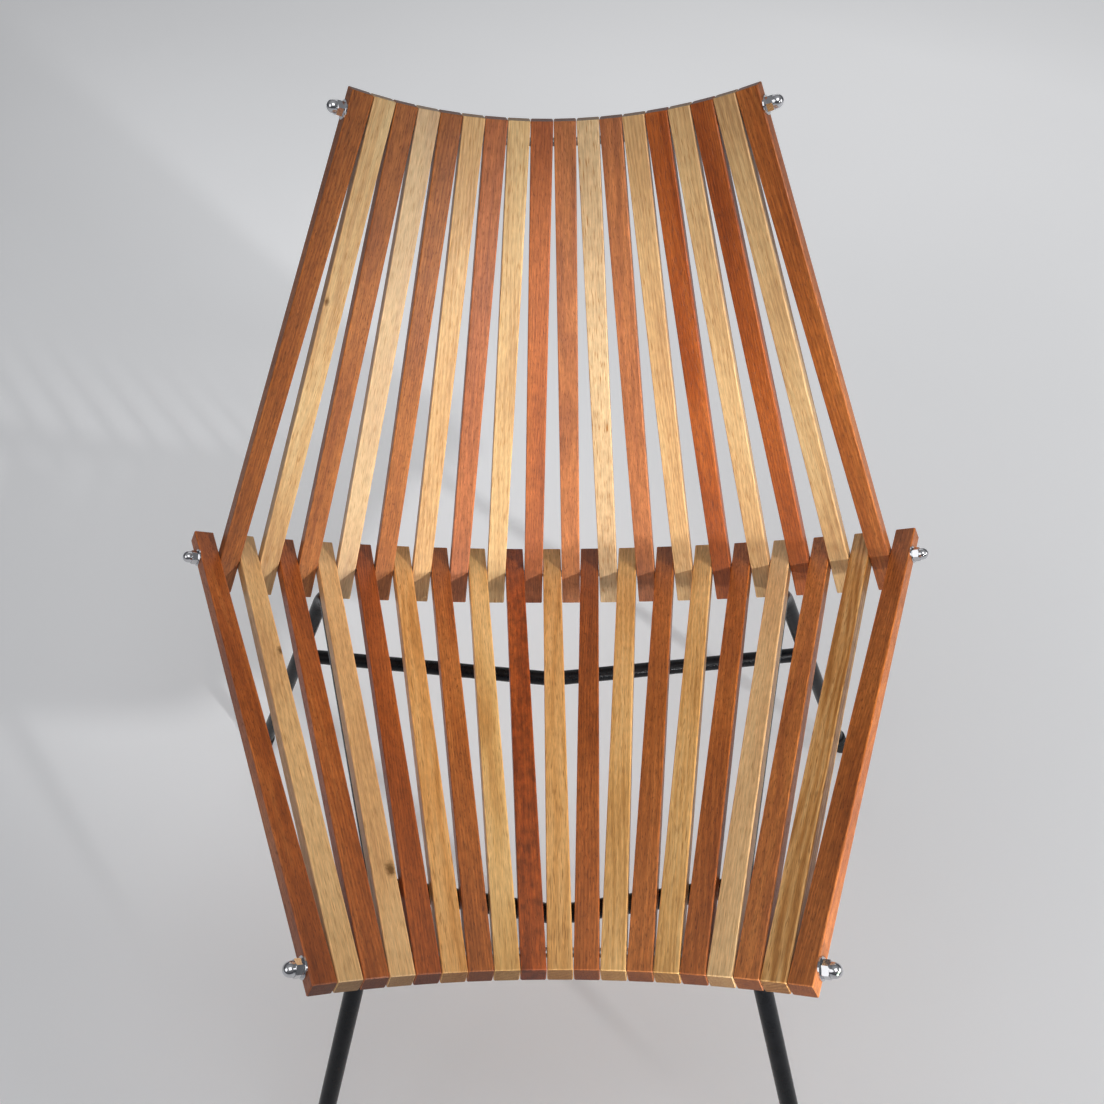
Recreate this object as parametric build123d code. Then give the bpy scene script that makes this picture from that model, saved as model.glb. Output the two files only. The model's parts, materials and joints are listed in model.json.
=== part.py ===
from build123d import *
import os
from math import cos, pi, radians, sin, tan

# A lounge chair made of two fans of straight wooden slats on a bent steel base.
# Seat and back slats are identical bars. They alternate side by side on one curved
# rod where seat and back meet, and each fan closes up on a tighter rod at its free
# end. Their centre planes all pass through one line, so each fan is part of a cone.
# The whole is built with the middle of the junction rod at (0, 0, JUNCTION_HEIGHT)
# and the floor at Z = 0, then moved so that the origin is under the middle of its
# bounding box. The sitter faces -Y. Left is -X and right is +X, seen from the front.

# Slats
SEAT_SLATS = 19
BACK_SLATS = 18
SLAT_PITCH = 22.0  # one slat thickness of arc along the junction rod
SLAT_WIDTH = 21.0
SLAT_DEPTH = 15.6
SLAT_EDGE_RADIUS = 1.5
SLAT_END_CHAMFER = 0.7
HOLE_SPACING = 488.0  # between the two rod holes of a slat
FREE_OVERHANG = 20.0  # slat beyond the front or top rod
JUNCTION_OVERHANG = 37.0  # slat beyond the junction rod
ROD_HOLE_RADIUS = 4.3

# The two fans
JUNCTION_RADIUS = 660.0  # bend of the junction rod
HALF_OPENING = 48.5  # degrees from the bisecting plane to the seat, and to the back
BISECTOR_TILT = 56.0  # degrees that the bisecting plane rises towards the front
JUNCTION_HEIGHT = 365.0

# Rods, washers and domed cap nuts, M8
ROD_RADIUS = 4.0
ROD_GRIP = 9.0  # rod inside each nut
WASHER_RADIUS = 9.0
WASHER_THICKNESS = 1.6
WASHER_HOLE_RADIUS = 4.2
WASHER_EDGE = 0.32
NUT_FLATS = 13.0
NUT_HEX_HEIGHT = 6.5
NUT_CORNER_CHAMFER = 0.7
NUT_DOME_RADIUS = 6.2
NUT_HEIGHT = 15.0
NUT_BORE_RADIUS = 4.1
NUT_BORE_DEPTH = 10.0

# Base of steel tube
TUBE_RADIUS = 8.6
TUBE_WALL = 2.0
RAIL_SLATS = (4, 16)  # seat slats, counted from the left, that the rails run under
RAIL_REAR_CORNER = 20.0  # along the slat from the junction rod
RAIL_FRONT_CORNER = 409.0
FRONT_LEG_RAKE = 11.0  # degrees forward of square to the rail
REAR_LEG_RAKE = 17.2  # degrees backward of square to the rail
FRAME_BEND_RADIUS = 40.0
FRONT_BAR_ALONG = 402.0  # where the front crossbar meets the bend, along the slat
FRONT_BAR_BELOW = 9.0  # and below the rail's centre line
FRONT_BAR_APEX = (0.0, -428.0, 15.0)  # from the middle of the junction rod
FRONT_BAR_BEND_RADIUS = 70.0
REAR_BAR_BELOW = 147.0  # below the rail's centre line, square to the rail
REAR_BAR_APEX = (0.0, -67.0, -115.0)
REAR_BAR_BEND_RADIUS = 45.0

# Foot caps
CAP_RADIUS = 11.0
CAP_LENGTH = 34.0  # above the floor, along the leg
CAP_FLOOR = 7.0  # thickness under the tube's end, along the leg
CAP_RIM_RADIUS = 1.2

# Screws that hold the rails to their slats, from below
SCREW_STATIONS = (90.0, 215.0, 340.0)  # along the slat from the junction rod
SCREW_RADIUS = 2.2
SCREW_HOLE_RADIUS = 2.3
SCREW_DEPTH_IN_SLAT = 10.0
SCREW_HEAD_RADIUS = 4.2
SCREW_HEAD_HEIGHT = 2.8
SCREW_HEAD_EDGE = 1.2

BASE_ALIGN = (Align.CENTER, Align.CENTER, Align.MIN)
SEAT = 1
BACK = -1
ACROSS = Vector(1, 0, 0)
BISECTOR = Vector(0, -cos(radians(BISECTOR_TILT)), sin(radians(BISECTOR_TILT)))
SEATWARD = Vector(0, -sin(radians(BISECTOR_TILT)), -cos(radians(BISECTOR_TILT)))
OPENING_COS = cos(radians(HALF_OPENING))
OPENING_SIN = sin(radians(HALF_OPENING))
JUNCTION = Vector(0, 0, JUNCTION_HEIGHT)
CONE_CENTER = JUNCTION + BISECTOR * JUNCTION_RADIUS
FREE_RADIUS = JUNCTION_RADIUS - HOLE_SPACING * OPENING_COS
FREE_SHIFT = HOLE_SPACING * OPENING_SIN
FAN_STEP = 2 * SLAT_PITCH / JUNCTION_RADIUS  # radians between neighbours of one fan
RAIL_DROP = SLAT_DEPTH / 2 + TUBE_RADIUS
SLAT_LENGTH = JUNCTION_OVERHANG + HOLE_SPACING + FREE_OVERHANG


def seat_angle(number):
    """Angle of a seat slat about the cone's line, in radians, 0 in the middle."""
    return (number - (SEAT_SLATS + 1) / 2) * FAN_STEP


def back_angle(number):
    """Angle of a back slat about the cone's line, in radians, 0 in the middle."""
    return (number - (BACK_SLATS + 1) / 2) * FAN_STEP


def towards_center(angle):
    return BISECTOR * cos(angle) - ACROSS * sin(angle)


def across(angle):
    return ACROSS * cos(angle) + BISECTOR * sin(angle)


def slat_plane(angle, fan):
    """Plane at a slat's junction hole, X along the slat and Z out of its show face."""
    inward = towards_center(angle)
    origin = JUNCTION + (BISECTOR - inward) * JUNCTION_RADIUS
    along = inward * OPENING_COS + SEATWARD * (fan * OPENING_SIN)
    face = inward * OPENING_SIN - SEATWARD * (fan * OPENING_COS)
    return Plane(origin=origin, x_dir=along, z_dir=face)


def rod_end_planes(center, radius, end_angle):
    """Planes on the outer faces of the outermost slats, Z outwards along the rod."""
    planes = []
    for sign in (-1, 1):
        angle = sign * end_angle
        outward = across(angle) * sign
        origin = center - towards_center(angle) * radius + outward * (SLAT_WIDTH / 2)
        planes.append(Plane(origin=origin, x_dir=SEATWARD, z_dir=outward))
    return planes


# ---- wood


def slat_blank():
    """One slat, with its junction hole at the origin and its show face up."""
    middle = SLAT_LENGTH / 2 - JUNCTION_OVERHANG
    bar = Pos(middle, 0, 0) * Box(SLAT_LENGTH, SLAT_WIDTH, SLAT_DEPTH)
    bar = fillet(bar.edges().filter_by(Axis.X), SLAT_EDGE_RADIUS)
    ends = bar.faces().sort_by(Axis.X)
    bar = chamfer(ends[0].edges() + ends[-1].edges(), SLAT_END_CHAMFER)
    hole = Rot(90, 0, 0) * Cylinder(ROD_HOLE_RADIUS, 2 * SLAT_WIDTH)
    return bar - hole - Pos(HOLE_SPACING, 0, 0) * hole


def screw_hole(station):
    """Pilot hole in the underside of a slat that carries a rail."""
    top = -SLAT_DEPTH / 2 + SCREW_DEPTH_IN_SLAT
    center = top - SLAT_DEPTH
    return Pos(station, 0, center) * Cylinder(SCREW_HOLE_RADIUS, 2 * SLAT_DEPTH)


def make_slats():
    blank = slat_blank()
    drilled = blank - [screw_hole(station) for station in SCREW_STATIONS]
    slats = {}
    for number in range(1, SEAT_SLATS + 1):
        body = drilled if number in RAIL_SLATS else blank
        slats[f"seat_slat_{number:02d}"] = slat_plane(seat_angle(number), SEAT) * body
    for number in range(1, BACK_SLATS + 1):
        slats[f"back_slat_{number:02d}"] = slat_plane(back_angle(number), BACK) * blank
    return slats


# ---- rods and their fasteners


def make_rod(center, radius, end_angle):
    """A round rod bent to an arc through its slats, straight from the last one out."""
    sweep_degrees = 2 * end_angle * 180 / pi
    arc = CenterArc((0, 0), radius, -90 - sweep_degrees / 2, sweep_degrees)
    tail = SLAT_WIDTH / 2 + WASHER_THICKNESS + ROD_GRIP
    start = Line(arc @ 0 - (arc % 0) * tail, arc @ 0)
    end = Line(arc @ 1, arc @ 1 + (arc % 1) * tail)
    path = Plane(origin=center, x_dir=ACROSS, z_dir=SEATWARD) * (start + arc + end)
    return sweep(Plane(origin=path @ 0, z_dir=path % 0) * Circle(ROD_RADIUS), path)


def washer_blank():
    ring = Cylinder(WASHER_RADIUS, WASHER_THICKNESS, align=BASE_ALIGN)
    ring = chamfer(ring.edges().group_by(Axis.Z)[-1], WASHER_EDGE)
    return ring - Cylinder(WASHER_HOLE_RADIUS, 4 * WASHER_THICKNESS)


def cap_nut_blank():
    """A domed cap nut that sits on top of its washer."""
    corner_radius = NUT_FLATS / 2 / cos(radians(30))
    prism = extrude(RegularPolygon(NUT_FLATS / 2, 6, major_radius=False), NUT_HEX_HEIGHT)
    turned = Cylinder(corner_radius, NUT_HEX_HEIGHT, align=BASE_ALIGN)
    turned = chamfer(turned.edges().filter_by(GeomType.CIRCLE), NUT_CORNER_CHAMFER)
    neck = Cylinder(NUT_DOME_RADIUS, NUT_HEIGHT - NUT_DOME_RADIUS, align=BASE_ALIGN)
    dome = Pos(0, 0, NUT_HEIGHT - NUT_DOME_RADIUS) * Sphere(NUT_DOME_RADIUS)
    bore = Cylinder(NUT_BORE_RADIUS, 2 * NUT_BORE_DEPTH)
    nut = (prism & turned) + neck + dome - bore
    return Pos(0, 0, WASHER_THICKNESS) * nut


def make_rods_and_fasteners():
    seat_end = seat_angle(SEAT_SLATS)
    back_end = back_angle(BACK_SLATS)
    layouts = {
        "front": (CONE_CENTER + SEATWARD * FREE_SHIFT, FREE_RADIUS, seat_end),
        "junction": (CONE_CENTER, JUNCTION_RADIUS, seat_end),
        "top": (CONE_CENTER - SEATWARD * FREE_SHIFT, FREE_RADIUS, back_end),
    }
    washer = washer_blank()
    nut = cap_nut_blank()
    pieces = {}
    for name, layout in layouts.items():
        planes = rod_end_planes(*layout)
        pieces[f"{name}_rod"] = make_rod(*layout)
        pieces[f"{name}_washers"] = Compound([plane * washer for plane in planes])
        pieces[f"{name}_cap_nuts"] = Compound([plane * nut for plane in planes])
    return pieces


# ---- tube base


def rail_point(plane, along, below):
    """A point in a side frame's plane, measured from its rail's centre line."""
    return plane.from_local_coords(Vector(along, 0, -RAIL_DROP - below))


def leg_direction(plane, rake):
    """Downwards along a leg; a positive rake leans it to the front."""
    return plane.x_dir * sin(radians(rake)) - plane.z_dir * cos(radians(rake))


def leg_axis(plane, along, rake):
    """The point where a leg's centre line meets the floor, and its way up."""
    corner = rail_point(plane, along, 0)
    down = leg_direction(plane, rake)
    return corner + down * (corner.Z / -down.Z), down * -1


def leg_axes(plane):
    return {
        "front": leg_axis(plane, RAIL_FRONT_CORNER, FRONT_LEG_RAKE),
        "rear": leg_axis(plane, RAIL_REAR_CORNER, -REAR_LEG_RAKE),
    }


def tube_along(path, radius):
    return sweep(Plane(origin=path @ 0, z_dir=path % 0) * Circle(radius), path)


def frame_path(plane):
    axes = leg_axes(plane)
    front_foot, front_up = axes["front"]
    rear_foot, rear_up = axes["rear"]
    points = (
        front_foot + front_up * CAP_FLOOR,
        rail_point(plane, RAIL_FRONT_CORNER, 0),
        rail_point(plane, RAIL_REAR_CORNER, 0),
        rear_foot + rear_up * CAP_FLOOR,
    )
    return FilletPolyline(*points, radius=FRAME_BEND_RADIUS)


def rail_screw_holes(plane):
    """Drillings through a rail, square to the slat above it."""
    drill = Cylinder(SCREW_HOLE_RADIUS, 3 * TUBE_RADIUS)
    return [plane * Pos(station, 0, -RAIL_DROP) * drill for station in SCREW_STATIONS]


def crossbar(path, frames):
    """A tube between the side frames, its ends shaped to fit against them."""
    bar = tube_along(path, TUBE_RADIUS) - tube_along(path, TUBE_RADIUS - TUBE_WALL)
    pieces = (bar - frames).solids()
    return pieces.sort_by(SortBy.VOLUME)[-1]


def crossbar_path(planes, along, below, apex, bend_radius):
    left, right = (rail_point(plane, along, below) for plane in planes)
    return FilletPolyline(left, JUNCTION + Vector(*apex), right, radius=bend_radius)


def foot_cap(foot, up):
    """A cap pushed on a leg's end and cut level with the floor."""
    plane = Plane(origin=foot, z_dir=up)
    body = plane * Cylinder(CAP_RADIUS, 2 * CAP_LENGTH)
    top = body.edges().filter_by(GeomType.CIRCLE).sort_by(Axis.Z)[-1]
    body = fillet(top, CAP_RIM_RADIUS)
    socket_center = CAP_FLOOR + CAP_LENGTH
    socket = plane * Pos(0, 0, socket_center) * Cylinder(TUBE_RADIUS, 2 * CAP_LENGTH)
    ground = Pos(foot.X, foot.Y, -CAP_LENGTH) * Box(6 * CAP_RADIUS, 6 * CAP_RADIUS, 2 * CAP_LENGTH)
    return body - socket - ground


def screw_blank():
    """A pan head screw pointing up, its head's seat at the origin."""
    shank_length = 2 * TUBE_RADIUS + SCREW_DEPTH_IN_SLAT - SCREW_HOLE_RADIUS
    shank = Cylinder(SCREW_RADIUS, shank_length, align=BASE_ALIGN)
    head = Pos(0, 0, -SCREW_HEAD_HEIGHT) * Cylinder(
        SCREW_HEAD_RADIUS, SCREW_HEAD_HEIGHT, align=BASE_ALIGN
    )
    head = fillet(head.edges().group_by(Axis.Z)[0], SCREW_HEAD_EDGE)
    return shank + head


def make_base():
    planes = [slat_plane(seat_angle(number), SEAT) for number in RAIL_SLATS]
    paths = [frame_path(plane) for plane in planes]
    outers = [tube_along(path, TUBE_RADIUS) for path in paths]
    inners = [tube_along(path, TUBE_RADIUS - TUBE_WALL) for path in paths]
    front = crossbar_path(
        planes, FRONT_BAR_ALONG, FRONT_BAR_BELOW, FRONT_BAR_APEX, FRONT_BAR_BEND_RADIUS
    )
    rear_along = RAIL_REAR_CORNER - REAR_BAR_BELOW * tan(radians(REAR_LEG_RAKE))
    rear = crossbar_path(planes, rear_along, REAR_BAR_BELOW, REAR_BAR_APEX, REAR_BAR_BEND_RADIUS)
    pieces = {
        "front_crossbar": crossbar(front, outers),
        "rear_crossbar": crossbar(rear, outers),
    }
    screw = screw_blank()
    for side, plane, outer, inner in zip(("left", "right"), planes, outers, inners):
        pieces[f"side_frame_{side}"] = outer - inner - rail_screw_holes(plane)
        seats = [Pos(station, 0, -RAIL_DROP - TUBE_RADIUS) for station in SCREW_STATIONS]
        pieces[f"rail_screws_{side}"] = Compound([plane * seat * screw for seat in seats])
        for end, (foot, up) in leg_axes(plane).items():
            pieces[f"foot_cap_{end}_{side}"] = foot_cap(foot, up)
    return pieces


def write_parts(pieces):
    """Move the chair so that the origin is under its middle, and write each piece."""
    box = Compound(list(pieces.values())).bounding_box()
    shift = Pos(-box.center().X, -box.center().Y, -box.min.Z)
    os.makedirs("parts", exist_ok=True)
    for name, piece in pieces.items():
        export_step(shift * piece, f"parts/{name}.step")
    print("size", box.size, "shift", shift.position)


write_parts({**make_slats(), **make_rods_and_fasteners(), **make_base()})
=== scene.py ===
"""Looks for a slatted lounge chair: two woods, chromed nuts and a black tube base.

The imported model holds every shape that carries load. This file gives each of its pieces a
finish, adds the weld beads of the base and the turned rubber feet, and sets the stage.
"""

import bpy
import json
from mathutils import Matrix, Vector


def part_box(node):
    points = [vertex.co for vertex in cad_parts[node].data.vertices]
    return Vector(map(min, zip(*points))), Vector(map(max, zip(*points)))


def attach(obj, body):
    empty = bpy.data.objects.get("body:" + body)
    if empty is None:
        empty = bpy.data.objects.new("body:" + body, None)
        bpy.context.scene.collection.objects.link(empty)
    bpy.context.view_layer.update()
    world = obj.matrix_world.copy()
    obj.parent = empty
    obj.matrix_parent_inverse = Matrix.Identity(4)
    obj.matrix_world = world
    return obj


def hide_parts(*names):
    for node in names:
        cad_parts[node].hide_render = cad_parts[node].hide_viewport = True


bl_info = {
    "name": "Slatted Lounge Chair",
    "version": (1, 0, 0),
    "blender": (4, 5, 0),
    "location": "View3D > Sidebar > Chair",
    "description": "Finishes, small pieces and stage for a slatted lounge chair",
    "category": "Object",
}

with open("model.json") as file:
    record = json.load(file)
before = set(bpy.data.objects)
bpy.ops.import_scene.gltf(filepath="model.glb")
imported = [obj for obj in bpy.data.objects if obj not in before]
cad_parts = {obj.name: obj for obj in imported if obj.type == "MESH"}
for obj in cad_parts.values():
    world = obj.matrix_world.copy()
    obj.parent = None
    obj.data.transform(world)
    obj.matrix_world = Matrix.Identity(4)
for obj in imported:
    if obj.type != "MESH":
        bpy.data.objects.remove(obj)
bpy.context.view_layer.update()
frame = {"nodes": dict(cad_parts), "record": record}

import json
from collections import namedtuple
from math import cos, pi, radians, sin
from random import Random

import bmesh
import bpy
from bpy.props import FloatProperty, FloatVectorProperty, PointerProperty
from mathutils import Matrix, Vector
from mathutils.bvhtree import BVHTree

MM = 0.001
BODY = "root"
RECORD = frame["record"]
SLOT_OF = {part["node"]: part["material_slot"] for part in RECORD["subparts"]}
TINY = 1e-9  # lets a matrix of flat faces be inverted
SETTLING_ROUNDS = 60  # more than enough for a direction to settle

SLAT_CORNER = 18.3 * MM  # half a slat's width plus half its depth
HIGHLIGHT_BAND = (1.8 * MM, 1.0 * MM)  # how far inside the corner the painted edge highlight starts and ends
SHEEN_STRETCH = (-0.24, 0.0)  # along a slat, from its front or lower end, where the painted sheen is strongest, to its middle
CREAM = (0.92, 0.86, 0.76)  # what bleaching and the painted sheen turn wood towards
END_GRAIN_AND_SHADE = (0.36, 0.31, 0.27)  # how much a sawn end darkens red, green and blue: darker end grain and painted shade
WARMING = (0.06, -0.14, -0.28)  # share that one step of warmth adds to red, green and blue
WARMTH_JITTER = 0.25
BACK_SEEDS = 100  # the back slats' seeds start above those of the seat slats
RING_SHARE = 0.24
STREAK_SHARE = 0.34
DRIFT_SHARE = 0.42
MOTTLE_SHARE = 0.30
PATTERN_REACH = 9  # each slat is moved up to this many metres through the pattern
PITH_DISTANCE = (25, 90)  # how far the pith passes beside a slat, in mm
PITH_LEAN = 0.05
RING_WANDER = 14 * MM
WOOD_RELIEF = 0.10 * MM
PORE_SINKING = 1.2  # how much deeper than the fibres the pores are
ROUGHER, SMOOTHER = 0.16, 0.06  # how far roughness strays from its usual value
EDGE_HIGHLIGHT = 0.30  # how much paler the painted highlight makes a long edge
END_FACING = (0.75, 0.98)  # how straight along the slat a sawn end's normal points
KNOT_WIDTH = 0.55  # beside its length along the grain
KNOT_EXTENT = (0.9, 1.7)  # where a knot's dark middle ends and where it fades out, in radii
KNOT_STRENGTH = 0.9
KNOT_DARKNESS = 0.35  # a knot's colour beside that of the pores

# Fineness of the wood's patterns, in lumps per metre along a slat, over it and through it
WANDER_GRAIN = (3.5, 30.0, 30.0)
STREAK_GRAIN = (9.0, 210.0, 210.0)
DRIFT_GRAIN = (6.0, 24.0, 24.0)
FIBRE_GRAIN = (70.0, 950.0, 950.0)
MOTTLE_GRAIN = (85.0, 130.0, 130.0)
KNOT_GRAIN = (300.0, 300.0, 300.0)
PORE_ROWS = 1000.0

BEAD_STEPS = 144
BEAD_RIPPLES = 24
BEAD_RIPPLE = 0.16  # share of its radius by which a bead swells and shrinks
BAR_STATIONS = (30 * MM, 60 * MM)  # where a crossbar's line is measured, from its end
TANGENT_STEP = 0.015  # share of the radius by which a line that misses is moved inwards
TANGENT_STEPS = 12
LEG_LEVELS = (0.05, 0.09)  # heights at which a leg's line is measured
LEG_SPREAD = 0.03  # how much farther than its height a leg's section may lie from its foot
FERRULE_STEPS = 64
FERRULE_CREASE = radians(30)
# A ferrule's half section, radius and height in mm: up the socket, over the rim and down outside
FERRULE_PROFILE = (
    (0.0, 7.0), (8.6, 7.0), (8.6, 33.4), (8.9, 34.0), (9.9, 34.0), (10.4, 33.7), (10.7, 33.0),
    (10.7, 29.2), (10.1, 28.6), (10.1, 27.4), (10.7, 26.8), (10.7, 24.2), (10.1, 23.6),
    (10.1, 22.4), (10.7, 21.8), (11.0, 12.0), (11.0, -16.0), (0.0, -16.0),
)

# The stage. Places and sizes are in metres
SEAT_ANGLE = (0.0, 0.24, 0.42)  # where seat and back meet
LOWER_BACK = (0.0, 0.27, 0.50)
CHAIR_MIDDLE = (0.0, 0.0, 0.40)
FLOOR_AT_RIGHT = (0.9, 0.2, 0.2)
FLOOR_REACH = 9.0
CAMERA_PLACE = (-0.0162, -0.6463, 1.3176)
CAMERA_TURN = (45.0, 0.865, 0.495)  # degrees about X, Y and Z
FOCAL_LENGTH = 35.87  # in mm, as is the film's width
FILM_WIDTH = 36.0
LENS_SHIFT = (0.0293, -0.0207)
FLOOR_GLOW = (0.06, 0.07)  # how fast the floor's painted glow rises towards the right and the back
NEAR_GLOW = 0.05
SKY = ((0.16, 0.17, 0.20), (0.32, 0.33, 0.35), (0.56, 0.57, 0.59), (1.15, 1.17, 1.20))

# How one board differs from the usual look of its timber. light scales its brightness, warmth
# turns it towards red and bleach towards cream. The others scale streaks, mottling and pores.
Board = namedtuple("Board", "light warmth bleach streaks mottle pores")
BOARDS = {
    "usual": Board(1.00, 0.0, 0.00, 1.0, 1.0, 1.0),
    "red": Board(0.94, 0.6, 0.00, 0.9, 0.8, 0.9),
    "brown": Board(1.14, -0.5, 0.00, 0.9, 1.0, 1.0),
    "russet": Board(1.28, -0.5, 0.00, 0.9, 1.0, 1.0),
    "tan": Board(1.60, -1.0, 0.01, 0.9, 1.0, 1.0),
    "rosy": Board(1.12, -0.4, 0.035, 0.8, 0.9, 0.9),
    "coral": Board(1.02, 0.2, 0.02, 0.8, 0.9, 0.9),
    "dusty": Board(1.12, -1.0, 0.01, 0.9, 1.1, 1.1),
    "dry": Board(0.92, -0.7, 0.00, 1.0, 1.2, 1.2),
    "mottled": Board(0.80, 1.4, 0.00, 0.8, 3.2, 1.0),
    "golden": Board(0.93, 0.6, 0.00, 1.2, 1.0, 1.3),
    "striped": Board(0.88, 0.5, 0.00, 2.6, 1.0, 2.2),
    "blond": Board(0.96, 0.1, 0.07, 0.7, 0.8, 0.8),
    "pale": Board(1.04, -0.1, 0.12, 0.7, 0.8, 0.8),
    "straw": Board(0.83, -0.1, 0.08, 1.1, 0.9, 1.1),
    "cream": Board(0.84, -0.1, 0.18, 0.7, 0.8, 0.8),
    "wavy": Board(0.76, 0.0, 0.15, 0.8, 1.8, 1.6),
}
# Boards that stand out among their neighbours, by slat number from the left
SEAT_BOARDS = {
    2: "blond", 4: "blond", 5: "red", 6: "golden", 7: "brown", 9: "mottled", 10: "golden",
    13: "brown", 15: "brown", 16: "pale", 17: "tan", 18: "striped", 19: "russet",
}
# The back's boards are paler and bluer than the seat's: besides each board's own tone, this paints
# the whitish sheen of the back's varnish
BACK_TONES_AND_SHEEN = {
    1: "dry", 2: "straw", 3: "dusty", 4: "cream", 5: "dusty", 6: "straw", 7: "rosy", 8: "straw",
    9: "coral", 10: "rosy", 11: "wavy", 12: "rosy", 13: "straw", 14: "red", 15: "straw", 16: "red",
    17: "straw", 18: "brown",
}
# Knots on the upper faces: how far along the slat, how far across it, and radius, in mm
KNOTS = {
    "seat_slat_02": (90.0, -9.0, 3.5),
    "seat_slat_04": (-174.0, -6.0, 4.6),
    "back_slat_02": (76.0, 8.0, 2.6),
}


def color_property(name, description, color):
    return FloatVectorProperty(
        name=name, description=description, subtype="COLOR", size=3, min=0, max=1, default=color
    )


def length_property(name, description, length):
    return FloatProperty(
        name=name, description=description, subtype="DISTANCE", unit="LENGTH", default=length
    )


def share_property(name, description, share):
    return FloatProperty(
        name=name, description=description, subtype="FACTOR", min=0, max=1, default=share
    )


class DarkWoodLook(bpy.types.PropertyGroup):
    deep: color_property("Deep", "Colour of the dark growth rings", (0.18, 0.036, 0.006))
    middle: color_property("Middle", "Usual colour of the wood", (0.33, 0.083, 0.014))
    pale: color_property("Pale", "Colour between the growth rings", (0.48, 0.145, 0.030))
    pore: color_property("Pore", "Colour of the open pores", (0.085, 0.016, 0.004))
    ring: length_property("Ring spacing", "Thickness of one growth ring", 2.6 * MM)
    pore_length: length_property("Pore length", "Length of a pore along the grain", 5.0 * MM)
    pores: share_property("Pores", "How much the pores darken the surface", 0.55)
    fibres: share_property("Fibres", "How much single fibres differ in brightness", 0.33)
    # a painted sheen that pales the front or lower end of the slats
    painted_sheen: share_property("Wear", "How far use has bleached one end of the slats", 0.022)
    roughness: share_property("Roughness", "Roughness of the satin varnish", 0.42)


class LightWoodLook(bpy.types.PropertyGroup):
    deep: color_property("Deep", "Colour of the dark growth rings", (0.45, 0.205, 0.048))
    middle: color_property("Middle", "Usual colour of the wood", (0.68, 0.385, 0.130))
    pale: color_property("Pale", "Colour between the growth rings", (0.82, 0.54, 0.23))
    pore: color_property("Pore", "Colour of the open pores", (0.36, 0.155, 0.035))
    ring: length_property("Ring spacing", "Thickness of one growth ring", 3.4 * MM)
    pore_length: length_property("Pore length", "Length of a pore along the grain", 14.0 * MM)
    pores: share_property("Pores", "How much the pores darken the surface", 0.62)
    fibres: share_property("Fibres", "How much single fibres differ in brightness", 0.20)
    # a painted sheen that pales the front or lower end of the slats
    painted_sheen: share_property("Wear", "How far use has bleached one end of the slats", 0.018)
    roughness: share_property("Roughness", "Roughness of the satin varnish", 0.40)


class MetalLook(bpy.types.PropertyGroup):
    chrome: color_property("Chrome", "Colour of the nuts and washers", (0.66, 0.66, 0.68))
    zinc: color_property("Zinc", "Colour of the rods and screws", (0.55, 0.56, 0.58))
    paint: color_property("Black paint", "Colour of the tube base", (0.004, 0.0045, 0.006))
    rubber: color_property("Rubber", "Colour of the feet", (0.018, 0.018, 0.019))
    bead: length_property("Weld bead", "Radius of the weld beads", 1.7 * MM)


class StageLook(bpy.types.PropertyGroup):
    floor: color_property("Floor", "Colour of the floor", (0.94, 0.945, 0.96))
    daylight: FloatProperty(
        name="Daylight", description="Strength of the even light all around", min=0, default=0.36
    )


class ChairLook(bpy.types.PropertyGroup):
    dark_wood: PointerProperty(type=DarkWoodLook)
    light_wood: PointerProperty(type=LightWoodLook)
    metal: PointerProperty(type=MetalLook)
    stage: PointerProperty(type=StageLook)


def look():
    return bpy.context.scene.chair_look


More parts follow.
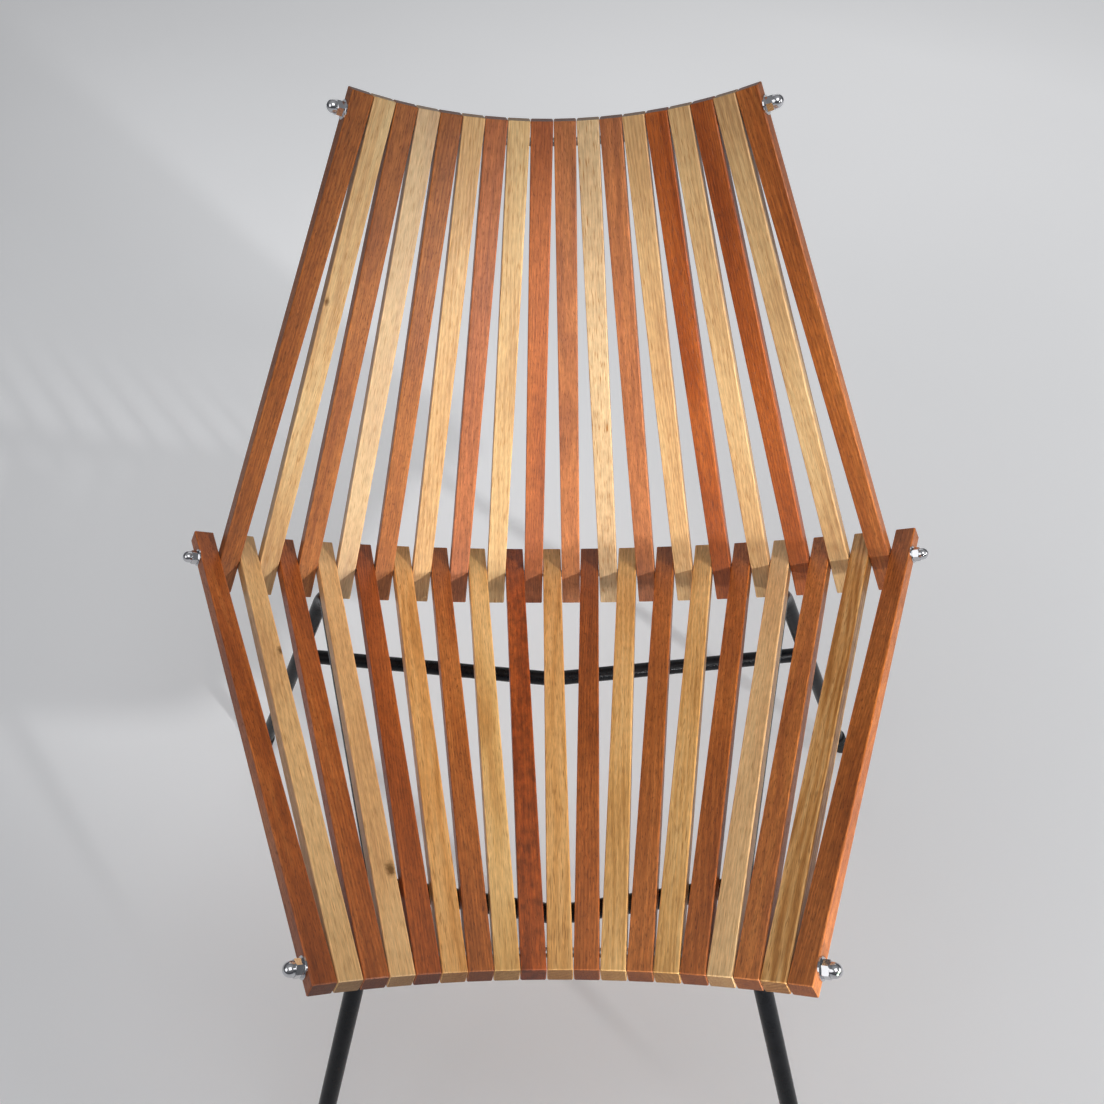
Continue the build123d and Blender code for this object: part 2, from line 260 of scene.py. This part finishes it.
class Pattern:
    """The node tree of a material or world, written as steps. Each step returns a socket."""

    def __init__(self, owner):
        self.owner = owner
        owner.use_nodes = True
        self.tree = owner.node_tree
        self.tree.nodes.clear()
        self.coordinates = self.node("ShaderNodeTexCoord")
        self.place = self.coordinates.outputs["Object"]

    def node(self, kind, inputs=None, **settings):
        """A new node. inputs are values or sockets by input name, settings are its properties."""
        node = self.tree.nodes.new(kind)
        for name, value in settings.items():
            setattr(node, name, value)
        for name, value in (inputs or {}).items():
            self.feed(node.inputs[name], value)
        return node

    def feed(self, socket, value):
        """Links an input to a socket, or sets it to a plain value."""
        if isinstance(value, bpy.types.NodeSocket):
            self.tree.links.new(value, socket)
        else:
            socket.default_value = value

    def math(self, operation, *values):
        node = self.node("ShaderNodeMath", operation=operation)
        for socket, value in zip(node.inputs, values):
            self.feed(socket, value)
        return node.outputs[0]

    def vector(self, operation, *values):
        node = self.node("ShaderNodeVectorMath", operation=operation)
        for socket, value in zip(node.inputs, values):
            self.feed(socket, value)
        return node.outputs["Value" if operation == "DOT_PRODUCT" else "Vector"]

    def axes(self, place):
        """The X, Y and Z of a place, as sockets."""
        return self.node("ShaderNodeSeparateXYZ", {"Vector": place}).outputs

    def length(self, first, second):
        """Distance from the origin to the point (first, second)."""
        squares = [self.math("POWER", side, 2.0) for side in (first, second)]
        return self.math("SQRT", self.math("ADD", *squares))

    def scaled(self, color, factor):
        """A colour times a number."""
        node = self.node("ShaderNodeVectorMath", {"Scale": factor}, operation="SCALE")
        self.feed(node.inputs[0], color)
        return node.outputs["Vector"]

    def noise(self, place, grain, detail=2.0, roughness=0.5):
        """Noise whose lumps are about 1 / grain metres long in each direction."""
        stretched = self.vector("MULTIPLY", place, grain)
        inputs = {"Vector": stretched, "Scale": 1.0, "Detail": detail, "Roughness": roughness}
        return self.node("ShaderNodeTexNoise", inputs).outputs["Fac"]

    def remap(self, value, low, high, to_low=0.0, to_high=1.0):
        """Carries low..high to to_low..to_high and keeps it there."""
        inputs = {
            "Value": value, "From Min": low, "From Max": high, "To Min": to_low, "To Max": to_high,
        }
        return self.node("ShaderNodeMapRange", inputs).outputs["Result"]

    def ramp(self, value, colors):
        """Spreads the colours evenly over 0..1."""
        node = self.node("ShaderNodeValToRGB", {"Fac": value})
        stops = node.color_ramp.elements
        while len(stops) < len(colors):
            stops.new(1.0)
        for number, color in enumerate(colors):
            stops[number].position = number / (len(colors) - 1)
            stops[number].color = (*color, 1.0)
        return node.outputs["Color"]

    def mix(self, share, first, second, blend="MIX"):
        """Mixes colours. The Mix node's sockets share names, so they are found by number."""
        node = self.node("ShaderNodeMix", data_type="RGBA", blend_type=blend)
        for number, value in ((0, share), (6, first), (7, second)):
            self.feed(node.inputs[number], value)
        return node.outputs[2]

    def surface(self, color, roughness, height, depth, plain_color, **constants):
        """Ends the tree in one Principled shader. depth is the bump's real height."""
        bump = self.node("ShaderNodeBump", {"Height": height, "Distance": depth, "Strength": 1.0})
        inputs = {"Roughness": roughness, "Normal": bump.outputs["Normal"]}
        shader = self.node("ShaderNodeBsdfPrincipled", {**inputs, **constants})
        shader.inputs["Base Color"].default_value = (*plain_color, 1.0)
        self.feed(shader.inputs["Base Color"], color)
        output = self.node("ShaderNodeOutputMaterial")
        self.tree.links.new(shader.outputs["BSDF"], output.inputs["Surface"])
        self.owner.diffuse_color = (*plain_color, 1.0)
        return self.owner


def new_pattern(name):
    return Pattern(bpy.data.materials.new(name))


def finish_node(name, material):
    """Gives a CAD node its material."""
    data = frame["nodes"][name].data
    data.materials.clear()
    data.materials.append(material)


def nodes_with(slot):
    """The CAD nodes of a material slot, in order."""
    return sorted(node for node, own in SLOT_OF.items() if own == slot)


def finish_slot(slot, material):
    """Gives every CAD node of a material slot the same material."""
    for node in nodes_with(slot):
        finish_node(node, material)


# Wood


def slat_axes(node):
    """A slat's middle and its turn: X along the slat, Y over its width, Z through its depth."""
    mesh = frame["nodes"][node].data
    spread = Matrix(((0.0,) * 3,) * 3)
    for face in mesh.polygons:
        normal = face.normal
        for row in range(3):
            for column in range(3):
                spread[row][column] += face.area * normal[row] * normal[column]
    depth = strongest_direction(spread)
    along = strongest_direction((spread + TINY * Matrix.Identity(3)).inverted())
    upward = depth * (1.0 if depth.z > 0 else -1.0)
    backward = along * (1.0 if along.y > 0 else -1.0)
    turn = Matrix((backward, upward.cross(backward), upward)).transposed()
    low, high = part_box(node)
    return (low + high) / 2, turn


def strongest_direction(spread):
    """The direction in which a symmetric matrix stretches the most."""
    direction = Vector((0.31, 0.52, 0.79))
    for _ in range(SETTLING_ROUNDS):
        direction = (spread @ direction).normalized()
    return direction


def toned(color, board, jitter):
    """A timber's colour as it is on one board."""
    warmth = board.warmth + jitter.uniform(-WARMTH_JITTER, WARMTH_JITTER)
    own = [board.light * part * (1.0 + change * warmth) for part, change in zip(color, WARMING)]
    return tuple(part + board.bleach * (pale - part) for part, pale in zip(own, CREAM))


def growth_rings(pattern, on_slat, place, timber, draw):
    """Rings round the pith of the tree, which passes beside the slat: 0 to 1 and back."""
    pith_angle = draw.uniform(0, 2 * pi)
    pith_distance = draw.uniform(*PITH_DISTANCE) * MM
    lean = draw.uniform(-PITH_LEAN, PITH_LEAN)
    pith = (0.0, pith_distance * cos(pith_angle), pith_distance * sin(pith_angle))
    from_pith = pattern.axes(pattern.vector("SUBTRACT", on_slat, pith))
    sideways = pattern.math("MULTIPLY_ADD", from_pith["X"], lean, from_pith["Y"])
    wander = pattern.noise(place, WANDER_GRAIN, 2.0)
    distance = pattern.length(sideways, from_pith["Z"])
    radius = pattern.math("MULTIPLY_ADD", wander, RING_WANDER, distance)
    turns = pattern.math("MULTIPLY", radius, 2 * pi / timber.ring)
    return pattern.math("MULTIPLY_ADD", pattern.math("SINE", turns), 0.5, 0.5)


def grain_color(pattern, on_slat, place, timber, board, draw):
    """The colour of the rings, streaks and slow drifts together."""
    rings = growth_rings(pattern, on_slat, place, timber, draw)
    streaks = pattern.remap(pattern.noise(place, STREAK_GRAIN, 4.0, 0.62), 0.30, 0.70)
    drift = pattern.remap(pattern.noise(place, DRIFT_GRAIN, 1.0), 0.32, 0.68)
    figure = pattern.math("MULTIPLY", rings, RING_SHARE * board.streaks)
    figure = pattern.math("MULTIPLY_ADD", streaks, STREAK_SHARE * board.streaks, figure)
    figure = pattern.math("MULTIPLY_ADD", drift, DRIFT_SHARE, figure)
    # Stronger or fainter streaks leave the board's mean tone as it is
    mean = (RING_SHARE + STREAK_SHARE) / 2
    figure = pattern.math("ADD", figure, mean * (1.0 - board.streaks))
    tones = (timber.deep, timber.middle, timber.pale)
    return pattern.ramp(figure, [toned(tone, board, draw) for tone in tones])


def knot(pattern, on_slat, along, across, radius):
    """Where a small knot shows: strong in its middle, 0 outside, longer along the grain."""
    place = pattern.vector("SUBTRACT", on_slat, (along * MM, across * MM, 0.0))
    axes = pattern.axes(place)
    distance = pattern.length(pattern.math("MULTIPLY", axes["X"], KNOT_WIDTH), axes["Y"])
    bumps = pattern.noise(place, KNOT_GRAIN, 2.0)
    outline = pattern.math("MULTIPLY_ADD", bumps, radius * MM, distance)
    dark, faded = (part * radius * MM for part in KNOT_EXTENT)
    return pattern.remap(outline, dark, faded, KNOT_STRENGTH, 0.0)


def knots_and_painted_light(pattern, color, node, on_slat, along, timber):
    """Knots and painted light: a painted sheen at one end, painted edge highlights, and sawn ends
    darkened by end grain and painted shade.
    """
    on_axes = pattern.axes(on_slat)
    # A painted sheen pales the front of the seat and the foot of the back
    sheen_share = pattern.remap(on_axes["X"], *SHEEN_STRETCH, timber.painted_sheen, 0.0)
    color = pattern.mix(sheen_share, color, (*CREAM, 1.0))
    if node in KNOTS:
        dark = [KNOT_DARKNESS * part for part in timber.pore]
        color = pattern.mix(knot(pattern, on_slat, *KNOTS[node]), color, (*dark, 1.0))
    # A painted highlight makes the long edges paler
    sides = [pattern.math("ABSOLUTE", on_axes[axis]) for axis in ("Y", "Z")]
    start, stop = (SLAT_CORNER - inset for inset in HIGHLIGHT_BAND)
    edge_highlight = pattern.remap(pattern.math("ADD", *sides), start, stop, 0.0, EDGE_HIGHLIGHT)
    color = pattern.scaled(color, pattern.math("ADD", edge_highlight, 1.0))
    # The sawn ends drink more varnish and are darker, and painted shade darkens them further
    facing = pattern.vector("DOT_PRODUCT", pattern.coordinates.outputs["Normal"], along)
    end = pattern.remap(pattern.math("ABSOLUTE", facing), *END_FACING)
    return pattern.mix(end, color, (*END_GRAIN_AND_SHADE, 1.0), "MULTIPLY")


def wood(node, timber, board, seed):
    """One slat's wood: rings about a pith, streaks, fibres and pores along its grain."""
    draw = Random(seed)
    middle, turn = slat_axes(node)
    pattern = new_pattern(node + "_wood")
    on_slat = pattern.node(
        "ShaderNodeMapping",
        {"Vector": pattern.place, "Location": middle, "Rotation": turn.to_euler()},
        vector_type="TEXTURE",
    ).outputs[0]
    shift = [draw.uniform(-PATTERN_REACH, PATTERN_REACH) for _ in range(3)]
    place = pattern.vector("ADD", on_slat, shift)
    color = grain_color(pattern, on_slat, place, timber, board, draw)

    fibres = pattern.noise(place, FIBRE_GRAIN, 3.0, 0.6)
    shade = pattern.remap(fibres, 0.30, 0.70, 1.0 - timber.fibres, 1.0 + timber.fibres)
    mottle = pattern.noise(place, MOTTLE_GRAIN, 3.0, 0.55)
    blotches = MOTTLE_SHARE * timber.fibres * board.mottle
    blotch = pattern.remap(mottle, 0.32, 0.68, 1.0 - blotches, 1.0 + blotches)
    color = pattern.scaled(color, pattern.math("MULTIPLY", shade, blotch))

    pore_grain = (1.0 / timber.pore_length, PORE_ROWS, PORE_ROWS)
    pores = pattern.remap(pattern.noise(place, pore_grain, 1.0, 0.5), 0.58, 0.72)
    pore_share = pattern.math("MULTIPLY", pores, min(timber.pores * board.pores, 1.0))
    color = pattern.mix(pore_share, color, (*timber.pore, 1.0))
    color = knots_and_painted_light(pattern, color, node, on_slat, turn.col[0], timber)

    relief = pattern.math("MULTIPLY_ADD", pores, -PORE_SINKING, fibres)
    rough, smooth = timber.roughness + ROUGHER, timber.roughness - SMOOTHER
    roughness = pattern.remap(relief, -0.6, 0.8, rough, smooth)
    return pattern.surface(
        color, roughness, relief, WOOD_RELIEF, timber.middle,
        **{"IOR": 1.5, "Specular IOR Level": 0.34, "Coat Weight": 0.05, "Coat Roughness": 0.2},
    )


def finish_slats(slot, timber):
    """Gives each slat of a timber its own board."""
    for node in nodes_with(slot):
        number = int(node.rsplit("_", 1)[1])
        on_seat = node.startswith("seat")
        kinds = SEAT_BOARDS if on_seat else BACK_TONES_AND_SHEEN
        board = BOARDS[kinds.get(number, "usual")]
        seed = number + (0 if on_seat else BACK_SEEDS)
        finish_node(node, wood(node, timber, board, seed))


# Metal, paint and rubber


def polished_chrome():
    """Bright chrome with faint polishing marks."""
    color = look().metal.chrome
    pattern = new_pattern("polished_chrome")
    marks = pattern.noise(pattern.place, (900.0, 900.0, 250.0), 3.0)
    haze = pattern.noise(pattern.place, (120.0, 120.0, 120.0), 2.0)
    tint = pattern.ramp(haze, [[0.93 * part for part in color], color])
    roughness = pattern.remap(marks, 0.3, 0.7, 0.04, 0.10)
    return pattern.surface(tint, roughness, marks, 0.01 * MM, color, Metallic=1.0)


def zinc_plate():
    """Dull zinc plating with a cloudy spangle."""
    color = look().metal.zinc
    pattern = new_pattern("zinc_plate")
    clouds = pattern.noise(pattern.place, (260.0, 260.0, 260.0), 3.0)
    tint = pattern.ramp(clouds, [[0.7 * part for part in color], color])
    roughness = pattern.remap(clouds, 0.3, 0.7, 0.26, 0.44)
    return pattern.surface(tint, roughness, clouds, 0.02 * MM, color, Metallic=1.0)


def black_paint():
    """Satin black paint with a slight orange peel and a little dust."""
    color = look().metal.paint
    pattern = new_pattern("black_paint")
    peel = pattern.noise(pattern.place, (420.0, 420.0, 420.0), 2.0)
    dust = pattern.remap(pattern.noise(pattern.place, (60.0, 60.0, 60.0), 5.0, 0.7), 0.45, 0.75)
    tint = pattern.ramp(dust, [color, [part * 2.0 + 0.003 for part in color]])
    roughness = pattern.remap(dust, 0.0, 1.0, 0.27, 0.42)
    return pattern.surface(
        tint, roughness, peel, 0.03 * MM, color, **{"IOR": 1.5, "Specular IOR Level": 0.2}
    )


def black_rubber():
    """Matt moulded rubber."""
    color = look().metal.rubber
    pattern = new_pattern("black_rubber")
    skin = pattern.noise(pattern.place, (700.0, 700.0, 700.0), 3.0)
    scuffs = pattern.remap(pattern.noise(pattern.place, (90.0, 90.0, 90.0), 4.0, 0.7), 0.5, 0.72)
    tint = pattern.ramp(scuffs, [color, [part * 2.5 for part in color]])
    roughness = pattern.remap(skin, 0.3, 0.7, 0.66, 0.84)
    return pattern.surface(tint, roughness, skin, 0.05 * MM, color, IOR=1.45)


# Pieces that Blender adds


def cut_points(node, place, normal):
    """Where a plane crosses a node's mesh."""
    cut = bmesh.new()
    cut.from_mesh(frame["nodes"][node].data)
    found = bmesh.ops.bisect_plane(
        cut, geom=cut.verts[:] + cut.edges[:] + cut.faces[:], plane_co=place, plane_no=normal
    )["geom_cut"]
    points = [item.co.copy() for item in found if isinstance(item, bmesh.types.BMVert)]
    cut.free()
    return points


def middle_of(points):
    """The middle of the box round some points."""
    return (Vector(map(min, *points)) + Vector(map(max, *points))) / 2


def section_of(node, place, normal):
    """Middle and outer radius of a node's tube where a plane cuts it."""
    points = cut_points(node, place, normal)
    middle = middle_of(points)
    return middle, max((point - middle).length for point in points)


def meeting_point(tree, middle, offset, toward):
    """Where a line along a bar's surface meets a side frame, or just inside it at the tangent."""
    for inset in range(TANGENT_STEPS):
        hit, *_ = tree.ray_cast(middle + offset * (1.0 - TANGENT_STEP * inset), toward)
        if hit is not None:
            return hit
    raise RuntimeError("a crossbar doesn't meet its side frame")


def weld_bead(name, bar, side_frame, side):
    """A rippled ring of weld where a crossbar meets a side frame. side is -1 or +1."""
    low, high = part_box(bar)
    end = low.x if side < 0 else high.x
    across = Vector((1.0, 0.0, 0.0))
    near, far = (
        section_of(bar, Vector((end - side * station, 0, 0)), across)[0] for station in BAR_STATIONS
    )
    toward = (near - far).normalized()
    middle, reach = section_of(bar, near, toward)
    first = toward.orthogonal().normalized()
    second = toward.cross(first)
    tube = bmesh.new()
    tube.from_mesh(frame["nodes"][side_frame].data)
    tree = BVHTree.FromBMesh(tube)
    tube.free()
    curve = bpy.data.curves.new(name, "CURVE")
    curve.dimensions = "3D"
    curve.bevel_depth = look().metal.bead
    curve.bevel_resolution = 3
    spline = curve.splines.new("POLY")
    spline.points.add(BEAD_STEPS - 1)
    for step, point in enumerate(spline.points):
        angle = 2 * pi * step / BEAD_STEPS
        offset = reach * (cos(angle) * first + sin(angle) * second)
        point.co = (*meeting_point(tree, middle, offset, toward), 1.0)
        point.radius = 1.0 + BEAD_RIPPLE * sin(BEAD_RIPPLES * angle)
    spline.use_cyclic_u = True
    piece = bpy.data.objects.new(name, curve)
    bpy.context.scene.collection.objects.link(piece)
    curve.materials.append(bpy.data.materials["black_paint"])
    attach(piece, BODY)
    return piece


def leg_point(side_frame, foot, height):
    """Middle of a leg's section at a height above its foot."""
    points = cut_points(side_frame, Vector((0.0, 0.0, height)), Vector((0.0, 0.0, 1.0)))
    return middle_of([point for point in points if (point - foot).length < height + LEG_SPREAD])


def turned_mesh(piece, outline):
    """Turns an outline of radii and heights about Z with a Screw and gives the piece that mesh."""
    half = bmesh.new()
    corners = [half.verts.new((radius * MM, 0.0, height * MM)) for radius, height in outline]
    for first, second in zip(corners, corners[1:]):
        half.edges.new((first, second))
    profile = piece.data
    half.to_mesh(profile)
    half.free()
    screw = piece.modifiers.new("turn", "SCREW")
    screw.steps = FERRULE_STEPS
    screw.render_steps = FERRULE_STEPS
    screw.use_merge_vertices = True
    screw.merge_threshold = 0.01 * MM
    bpy.context.view_layer.update()
    shaped = piece.evaluated_get(bpy.context.evaluated_depsgraph_get())
    mesh = bpy.data.meshes.new_from_object(shaped)
    piece.modifiers.clear()
    piece.data = mesh
    bpy.data.meshes.remove(profile)
    mesh.name = piece.name
    return mesh


def cut_level(mesh):
    """Cuts away what is below the floor and closes the cut."""
    level = bmesh.new()
    level.from_mesh(mesh)
    cut = bmesh.ops.bisect_plane(
        level, geom=level.verts[:] + level.edges[:] + level.faces[:],
        plane_co=(0.0, 0.0, 0.0), plane_no=(0.0, 0.0, 1.0), clear_inner=True,
    )["geom_cut"]
    rim = [item for item in cut if isinstance(item, bmesh.types.BMEdge)]
    bmesh.ops.contextual_create(level, geom=rim)
    bmesh.ops.recalc_face_normals(level, faces=level.faces)
    level.to_mesh(mesh)
    level.free()


def ferrule(name, side_frame, foot, replaced):
    """A turned rubber foot with two grooves and a socket, cut level where it stands."""
    low, high = (leg_point(side_frame, foot, height) for height in LEG_LEVELS)
    upward = (high - low).normalized()
    base = low - upward * (low.z / upward.z)
    piece = bpy.data.objects.new(name, bpy.data.meshes.new(name + "_profile"))
    bpy.context.scene.collection.objects.link(piece)
    mesh = turned_mesh(piece, FERRULE_PROFILE)
    mesh.transform(Matrix.Translation(base) @ upward.to_track_quat("Z", "Y").to_matrix().to_4x4())
    cut_level(mesh)
    for face in mesh.polygons:
        face.use_smooth = True
    mesh.set_sharp_from_angle(angle=FERRULE_CREASE)
    mesh.materials.clear()
    mesh.materials.append(bpy.data.materials["black_rubber"])
    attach(piece, BODY)
    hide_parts(replaced)
    return piece


# Operators


class CHAIR_OT_dark_slats(bpy.types.Operator):
    """Finish the slats of red-brown wood"""

    bl_idname = "chair.dark_slats"
    bl_label = "Dark Slats"

    def execute(self, context):
        finish_slats("dark_wood", look().dark_wood)
        return {"FINISHED"}


class CHAIR_OT_light_slats(bpy.types.Operator):
    """Finish the slats of blond wood"""

    bl_idname = "chair.light_slats"
    bl_label = "Light Slats"

    def execute(self, context):
        finish_slats("light_wood", look().light_wood)
        return {"FINISHED"}


class CHAIR_OT_fastenings(bpy.types.Operator):
    """Finish the rods, washers, cap nuts and screws"""

    bl_idname = "chair.fastenings"
    bl_label = "Fastenings"

    def execute(self, context):
        finish_slot("chrome", polished_chrome())
        finish_slot("plated_steel", zinc_plate())
        return {"FINISHED"}


class CHAIR_OT_base(bpy.types.Operator):
    """Paint the tube base black"""

    bl_idname = "chair.base"
    bl_label = "Base"

    def execute(self, context):
        finish_slot("black_steel", black_paint())
        return {"FINISHED"}


class CHAIR_OT_weld_beads(bpy.types.Operator):
    """Lay a weld bead where each crossbar meets a side frame"""

    bl_idname = "chair.weld_beads"
    bl_label = "Weld Beads"

    def execute(self, context):
        for end in ("front", "rear"):
            for side, hand in ((-1, "left"), (1, "right")):
                weld_bead(f"weld_bead_{end}_{hand}", f"{end}_crossbar", f"side_frame_{hand}", side)
        return {"FINISHED"}


class CHAIR_OT_feet(bpy.types.Operator):
    """Turn a rubber ferrule for each leg"""

    bl_idname = "chair.feet"
    bl_label = "Feet"

    def execute(self, context):
        finish_slot("black_rubber", black_rubber())
        for mount in RECORD["mounts"]:
            _, end, hand = mount["name"].split("_")
            foot = Vector(mount["pos_m"])
            ferrule(f"ferrule_{end}_{hand}", f"side_frame_{hand}", foot, f"foot_cap_{end}_{hand}")
        return {"FINISHED"}


def hang(light, place, aim, power):
    """Hangs a light at a place, turned to a point. power is in watts."""
    light.energy = power
    lamp = bpy.data.objects.new(light.name, light)
    lamp.location = place
    lamp.rotation_euler = (Vector(aim) - Vector(place)).to_track_quat("-Z", "Y").to_euler()
    bpy.context.scene.collection.objects.link(lamp)


def soft_box(name, size):
    """A broad studio light."""
    light = bpy.data.lights.new(name, "AREA")
    light.shape = "RECTANGLE"
    light.size, light.size_y = size
    return light


def spot_lamp(name, beam, radius):
    """A round lamp with a soft edge to its beam. beam is its full angle in degrees."""
    light = bpy.data.lights.new(name, "SPOT")
    light.spot_size = radians(beam)
    light.spot_blend = 1.0
    light.shadow_soft_size = radius
    return light


def hang_lights():
    """Two spots from the front right and soft boxes all around."""
    hang(spot_lamp("key", 27.0, 0.055), (1.62, -1.65, 1.47), SEAT_ANGLE, 190.0)
    hang(spot_lamp("glow", 16.0, 0.07), (0.95, -2.10, 0.80), LOWER_BACK, 165.0)
    hang(soft_box("left_box", (2.2, 2.2)), (-2.6, -1.6, 2.4), CHAIR_MIDDLE, 20.0)
    hang(soft_box("right_box", (1.6, 1.6)), (2.7, -0.4, 1.5), FLOOR_AT_RIGHT, 14.0)
    hang(soft_box("top_box", (1.6, 1.6)), (0.3, -1.0, 2.7), CHAIR_MIDDLE, 15.0)
    hang(soft_box("back_box", (2.2, 1.4)), (0.0, 2.6, 1.6), CHAIR_MIDDLE, 6.0)


def place_camera():
    """A camera that looks down at the chair from the front."""
    lens = bpy.data.cameras.new("camera")
    lens.sensor_width = FILM_WIDTH
    lens.lens = FOCAL_LENGTH
    lens.shift_x, lens.shift_y = LENS_SHIFT
    camera = bpy.data.objects.new("camera", lens)
    camera.location = CAMERA_PLACE
    camera.rotation_euler = [radians(angle) for angle in CAMERA_TURN]
    bpy.context.scene.collection.objects.link(camera)
    bpy.context.scene.camera = camera


def lay_floor():
    """A wide sheet at floor level."""
    data = bpy.data.meshes.new("floor")
    sheet = bmesh.new()
    bmesh.ops.create_grid(sheet, x_segments=8, y_segments=8, size=FLOOR_REACH)
    sheet.to_mesh(data)
    sheet.free()
    floor = bpy.data.objects.new("floor", data)
    bpy.context.scene.collection.objects.link(floor)
    data.materials.append(floor_material())


def studio_world():
    """Even light from above that fades towards the horizon."""
    world = bpy.data.worlds.new("studio")
    pattern = Pattern(world)
    height = pattern.remap(pattern.axes(pattern.coordinates.outputs["Generated"])["Z"], 0.0, 1.0)
    tint = pattern.ramp(height, SKY)
    background = pattern.node(
        "ShaderNodeBackground", {"Color": tint, "Strength": look().stage.daylight}
    )
    output = pattern.node("ShaderNodeOutputWorld")
    pattern.tree.links.new(background.outputs["Background"], output.inputs["Surface"])
    return world


def floor_material():
    """Smooth pale floor that glows with painted light, brighter towards the back and the right."""
    color = look().stage.floor
    pattern = new_pattern("pale_floor")
    clouds = pattern.noise(pattern.place, (1.2, 1.2, 1.2), 3.0)
    grit = pattern.noise(pattern.place, (160.0, 160.0, 160.0), 4.0)
    tones = [[min(light * part, 1.0) for part in color] for light in (0.95, 1.04)]
    tint = pattern.ramp(clouds, tones)
    roughness = pattern.remap(grit, 0.3, 0.7, 0.55, 0.75)
    axes = pattern.axes(pattern.place)
    rightward = pattern.math("MULTIPLY_ADD", axes["X"], FLOOR_GLOW[0], NEAR_GLOW)
    rising = pattern.math("MULTIPLY_ADD", axes["Y"], FLOOR_GLOW[1], rightward)
    glow = pattern.remap(rising, 0.0, 0.3, 0.0, 0.3)
    return pattern.surface(
        tint, roughness, grit, 0.1 * MM, color,
        **{
            "Specular IOR Level": 0.3,
            "Emission Color": (1.0, 1.0, 1.0, 1.0),
            "Emission Strength": glow,
        },
    )


class CHAIR_OT_stage(bpy.types.Operator):
    """Set up the floor, the lights and the camera"""

    bl_idname = "chair.stage"
    bl_label = "Stage"

    def execute(self, context):
        context.scene.view_settings.view_transform = "Standard"
        lay_floor()
        context.scene.world = studio_world()
        hang_lights()
        place_camera()
        return {"FINISHED"}


STEPS = (
    CHAIR_OT_dark_slats,
    CHAIR_OT_light_slats,
    CHAIR_OT_fastenings,
    CHAIR_OT_base,
    CHAIR_OT_weld_beads,
    CHAIR_OT_feet,
    CHAIR_OT_stage,
)


class CHAIR_PT_panel(bpy.types.Panel):
    """Lists the chair's steps"""

    bl_idname = "CHAIR_PT_panel"
    bl_label = "Slatted Lounge Chair"
    bl_space_type = "VIEW_3D"
    bl_region_type = "UI"
    bl_category = "Chair"

    def draw(self, context):
        for step in STEPS:
            self.layout.operator(step.bl_idname)


CLASSES = (DarkWoodLook, LightWoodLook, MetalLook, StageLook, ChairLook, *STEPS, CHAIR_PT_panel)


def register():
    for own in CLASSES:
        bpy.utils.register_class(own)
    bpy.types.Scene.chair_look = PointerProperty(type=ChairLook)


def unregister():
    del bpy.types.Scene.chair_look
    for own in reversed(CLASSES):
        bpy.utils.unregister_class(own)


def main():
    register()
    for step in STEPS:
        group, name = step.bl_idname.split(".")
        getattr(getattr(bpy.ops, group), name)()


if __name__ == "__main__":
    main()
